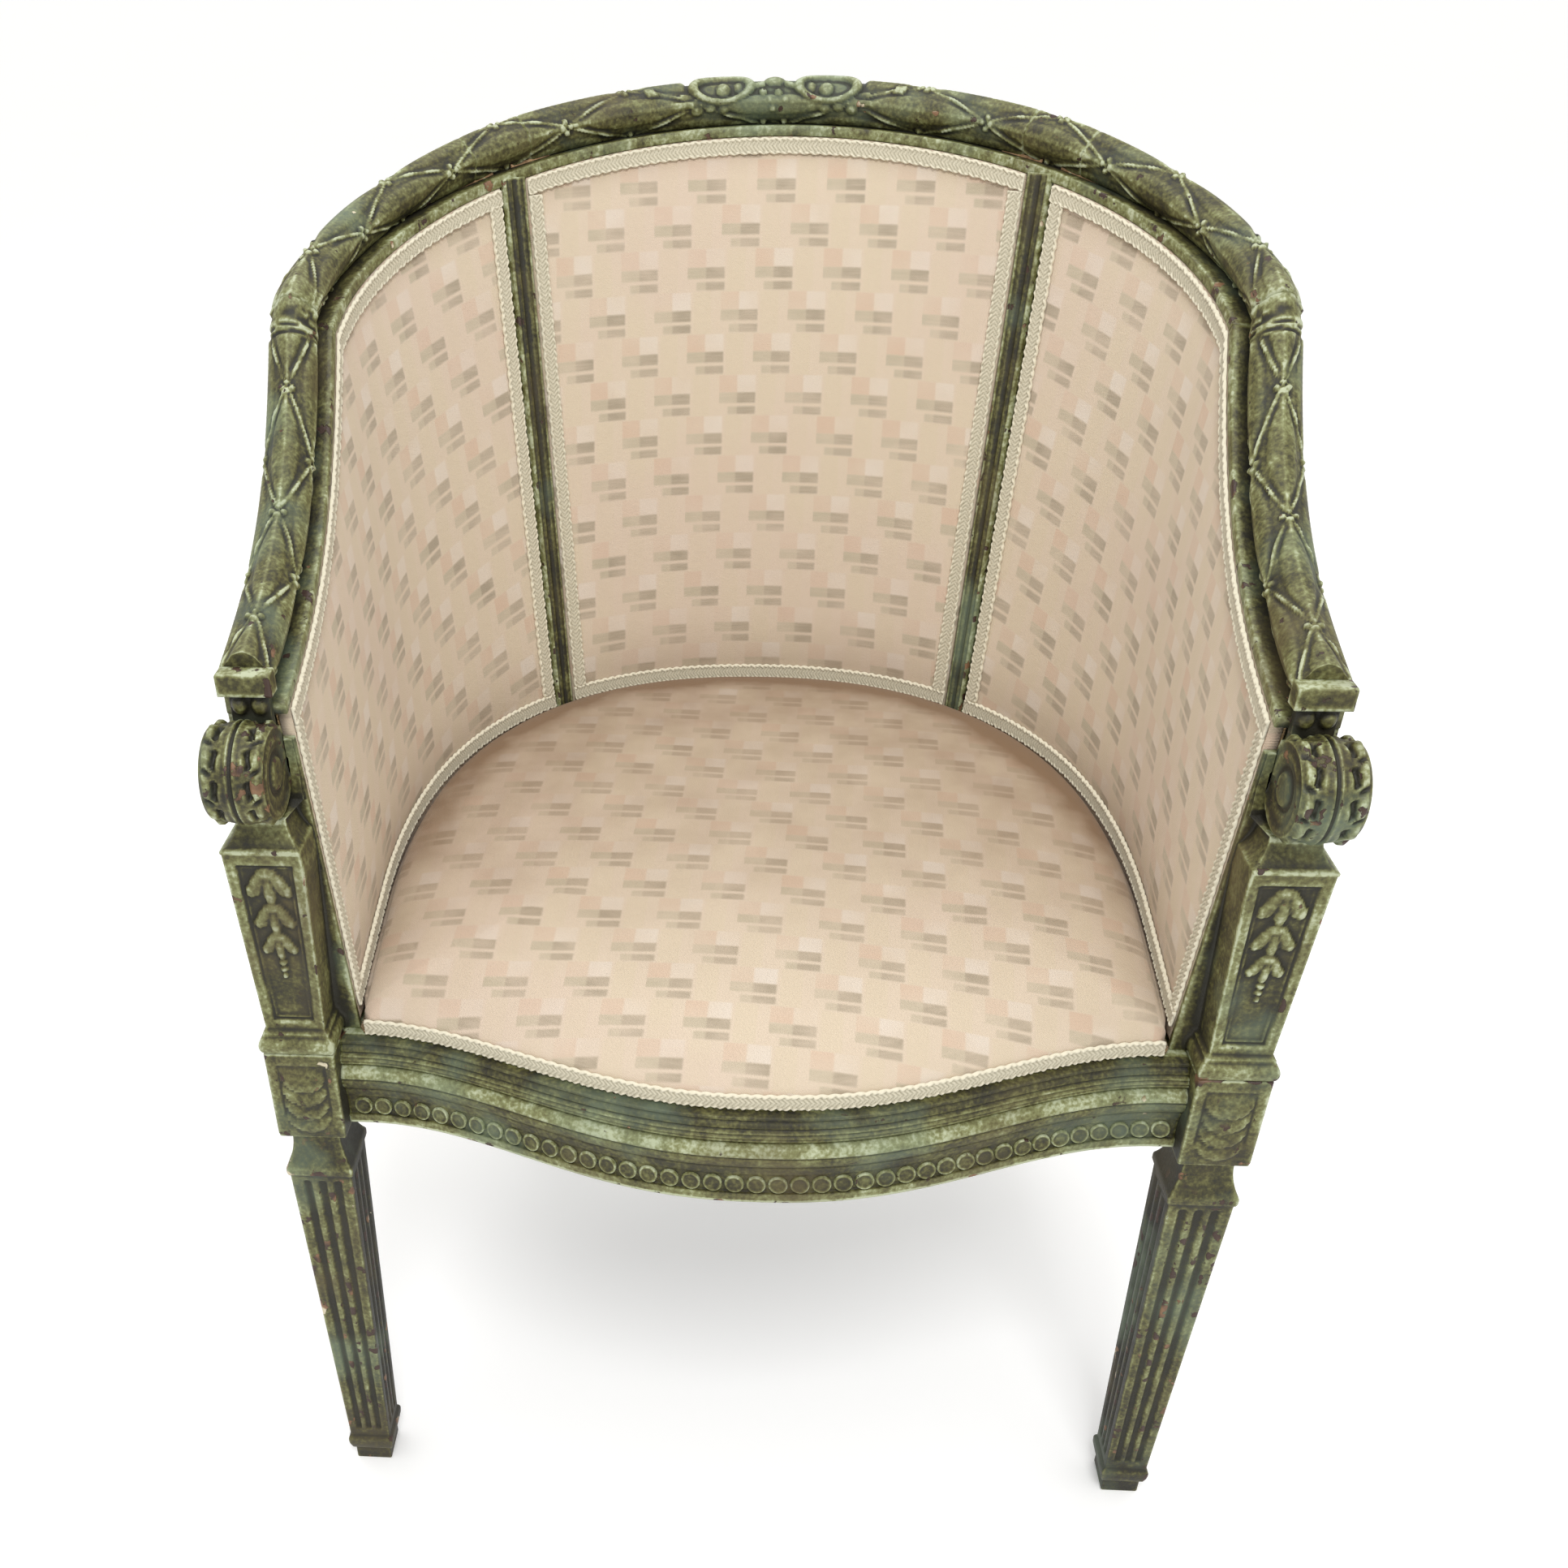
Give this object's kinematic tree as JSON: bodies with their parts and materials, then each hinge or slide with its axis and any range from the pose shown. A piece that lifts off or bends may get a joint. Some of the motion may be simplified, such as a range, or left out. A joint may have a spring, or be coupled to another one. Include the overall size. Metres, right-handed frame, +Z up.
{
  "type": "bergere armchair",
  "caption": "Tub-shaped bergere armchair with a carved, painted wood frame, scrolled arms, fluted tapering front legs, and a fixed sprung seat and upholstered panels edged with gimp.",
  "frame": {"origin": "on the floor, at the middle of the overall width and depth", "axes": "+X to the sitter's left when seated (right as seen from the front), -Y to the front of the chair, +Z up"},
  "size_m": [0.5876, 0.5824, 0.8339],
  "materials": {
    "painted_wood": "worn grey-green paint over carved beech",
    "bare_wood": "plain sawn beech",
    "woven_fabric": "cream and pink check weave with grey bars",
    "gimp": "pale cream-green braid",
    "hessian": "coarse jute cloth",
    "webbing": "woven jute straps",
    "stuffing": "hair and fibre under calico",
    "dust_cloth": "black cotton",
    "spring_steel": "coppered steel wire",
    "screw_steel": "plain steel"
  },
  "bodies": {
    "root": {"front_leg_left": "painted_wood", "front_leg_right": "painted_wood", "arm_post_left": "painted_wood", "arm_post_right": "painted_wood", "arm_scroll_left": "painted_wood", "arm_scroll_right": "painted_wood", "arm_rail_left": "painted_wood", "arm_rail_right": "painted_wood", "crest_side_left": "painted_wood", "crest_side_right": "painted_wood", "crest_centre": "painted_wood", "back_stile_left": "painted_wood", "back_stile_right": "painted_wood", "seat_rail_front": "painted_wood", "seat_rail_left": "painted_wood", "seat_rail_right": "painted_wood", "seat_rail_back": "painted_wood", "tacking_rail_left": "bare_wood", "tacking_rail_right": "bare_wood", "tacking_rail_back": "bare_wood", "corner_block_left": "bare_wood", "corner_block_right": "bare_wood", "corner_screws": "screw_steel", "frame_dowels": "bare_wood", "seat_webbing": "webbing", "seat_springs": "spring_steel", "spring_canvas": "hessian", "seat_stuffing": "stuffing", "seat_cover": "woven_fabric", "dust_cloth": "dust_cloth", "back_pad": "woven_fabric", "side_pad_left": "woven_fabric", "side_pad_right": "woven_fabric", "back_hessian": "hessian", "side_hessian_left": "hessian", "side_hessian_right": "hessian", "outer_back_cover": "woven_fabric", "outer_side_cover_left": "woven_fabric", "outer_side_cover_right": "woven_fabric", "gimp_back": "gimp", "gimp_side_left": "gimp", "gimp_side_right": "gimp", "gimp_seat_front": "gimp", "outer_gimp_back": "gimp", "outer_gimp_left": "gimp", "outer_gimp_right": "gimp"}
  },
  "joints": []
}
